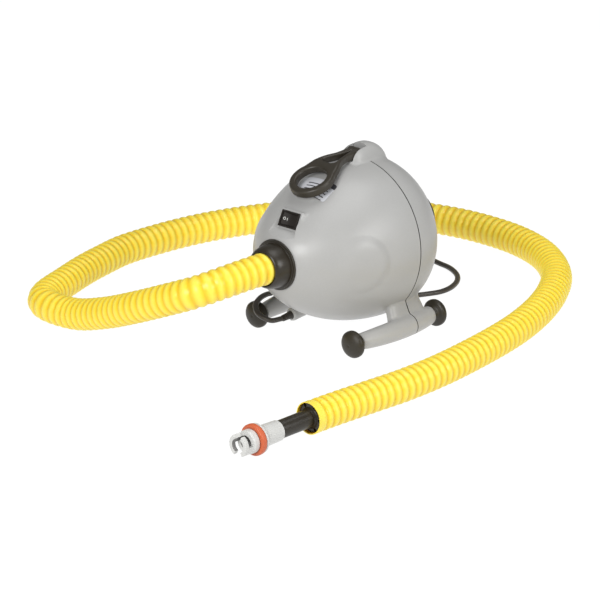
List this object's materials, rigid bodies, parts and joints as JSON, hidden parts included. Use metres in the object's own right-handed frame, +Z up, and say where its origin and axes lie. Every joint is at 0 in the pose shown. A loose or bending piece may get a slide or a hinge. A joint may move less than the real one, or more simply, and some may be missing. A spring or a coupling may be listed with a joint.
{
  "type": "electric air mattress pump",
  "caption": "Egg-shaped electric air pump on skids with domed feet, a fold-down ring handle, a rocker switch, a corrugated hose with a bayonet nozzle and a mains lead.",
  "frame": {"origin": "on the floor under the middle of the housing, half way between the nose ring's face and the intake port's face", "axes": "+Z up, -Y out of the air outlet, +Y out of the intake port, +X to the right for someone behind the intake port looking to the nose"},
  "size_m": [0.6177, 0.771, 0.2284],
  "materials": {
    "shell_grey": "satin",
    "dark_plastic": "satin",
    "handle_plastic": "satin",
    "foot_rubber": "satin",
    "hose_yellow": "satin gloss",
    "cord_rubber": "satin",
    "nozzle_white": "satin",
    "gasket_orange": "matte",
    "label_white": "printed film",
    "steel": "machined",
    "copper": null,
    "inner_plastic": "satin",
    "brass": "stamped",
    "carbon": null,
    "filter_foam": null
  },
  "bodies": {
    "housing": {"bayonet_nozzle": "nozzle_white", "bearing_front": "steel", "bearing_rear": "steel", "blower_cover": "inner_plastic", "blower_housing": "inner_plastic", "brush_holder_left": "brass", "brush_holder_right": "brass", "carbon_brush_left": "carbon", "carbon_brush_right": "carbon", "cord_strain_relief": "cord_rubber", "cord_tie": "dark_plastic", "diffuser_plate": "inner_plastic", "end_frame_front": "steel", "end_frame_rear": "steel", "field_coil_lower": "copper", "field_coil_upper": "copper", "foot_front_left": "foot_rubber", "foot_front_right": "foot_rubber", "foot_rear_left": "foot_rubber", "foot_rear_right": "foot_rubber", "front_shell": "shell_grey", "handle_pin": "steel", "hose": "hose_yellow", "intake_filter": "filter_foam", "intake_grille": "dark_plastic", "motor_bulkhead": "inner_plastic", "motor_can": "steel", "mount_ring_front": "foot_rubber", "mount_ring_rear": "foot_rubber", "nozzle_gasket": "gasket_orange", "nozzle_tube": "dark_plastic", "outlet_bell": "dark_plastic", "outlet_ring": "dark_plastic", "plug_body": "cord_rubber", "plug_pin_left": "steel", "plug_pin_right": "steel", "power_cord_coil": "cord_rubber", "power_cord_front": "cord_rubber", "power_cord_rear": "cord_rubber", "rating_label": "label_white", "rear_port": "dark_plastic", "rear_shell": "shell_grey", "shell_screw_left": "steel", "shell_screw_right": "steel", "stator_core": "steel", "suppressor_capacitor": "dark_plastic", "switch_housing": "dark_plastic", "terminal_block": "inner_plastic"},
    "handle": {"carry_handle": "handle_plastic"},
    "rocker": {"switch_rocker": "dark_plastic"},
    "rotor": {"motor_shaft": "steel", "armature_core": "steel", "commutator": "copper", "impeller_front": "inner_plastic", "impeller_rear": "inner_plastic"}
  },
  "joints": [
    {"name": "handle_fold", "type": "hinge", "parent": "housing", "child": "handle", "pos_m": [0, 0.017, 0.2178], "axis": [-1, 0, 0], "range_deg": [0, 90]},
    {"name": "switch_tilt", "type": "hinge", "parent": "housing", "child": "rocker", "pos_m": [0, -0.09684, 0.16007], "axis": [0, -0.4478, -0.8941], "range_deg": [0, 16]},
    {"name": "rotor_spin", "type": "hinge", "parent": "housing", "child": "rotor", "pos_m": [0, 0, 0.1112], "axis": [0, 1, 0], "continuous": true}
  ]
}
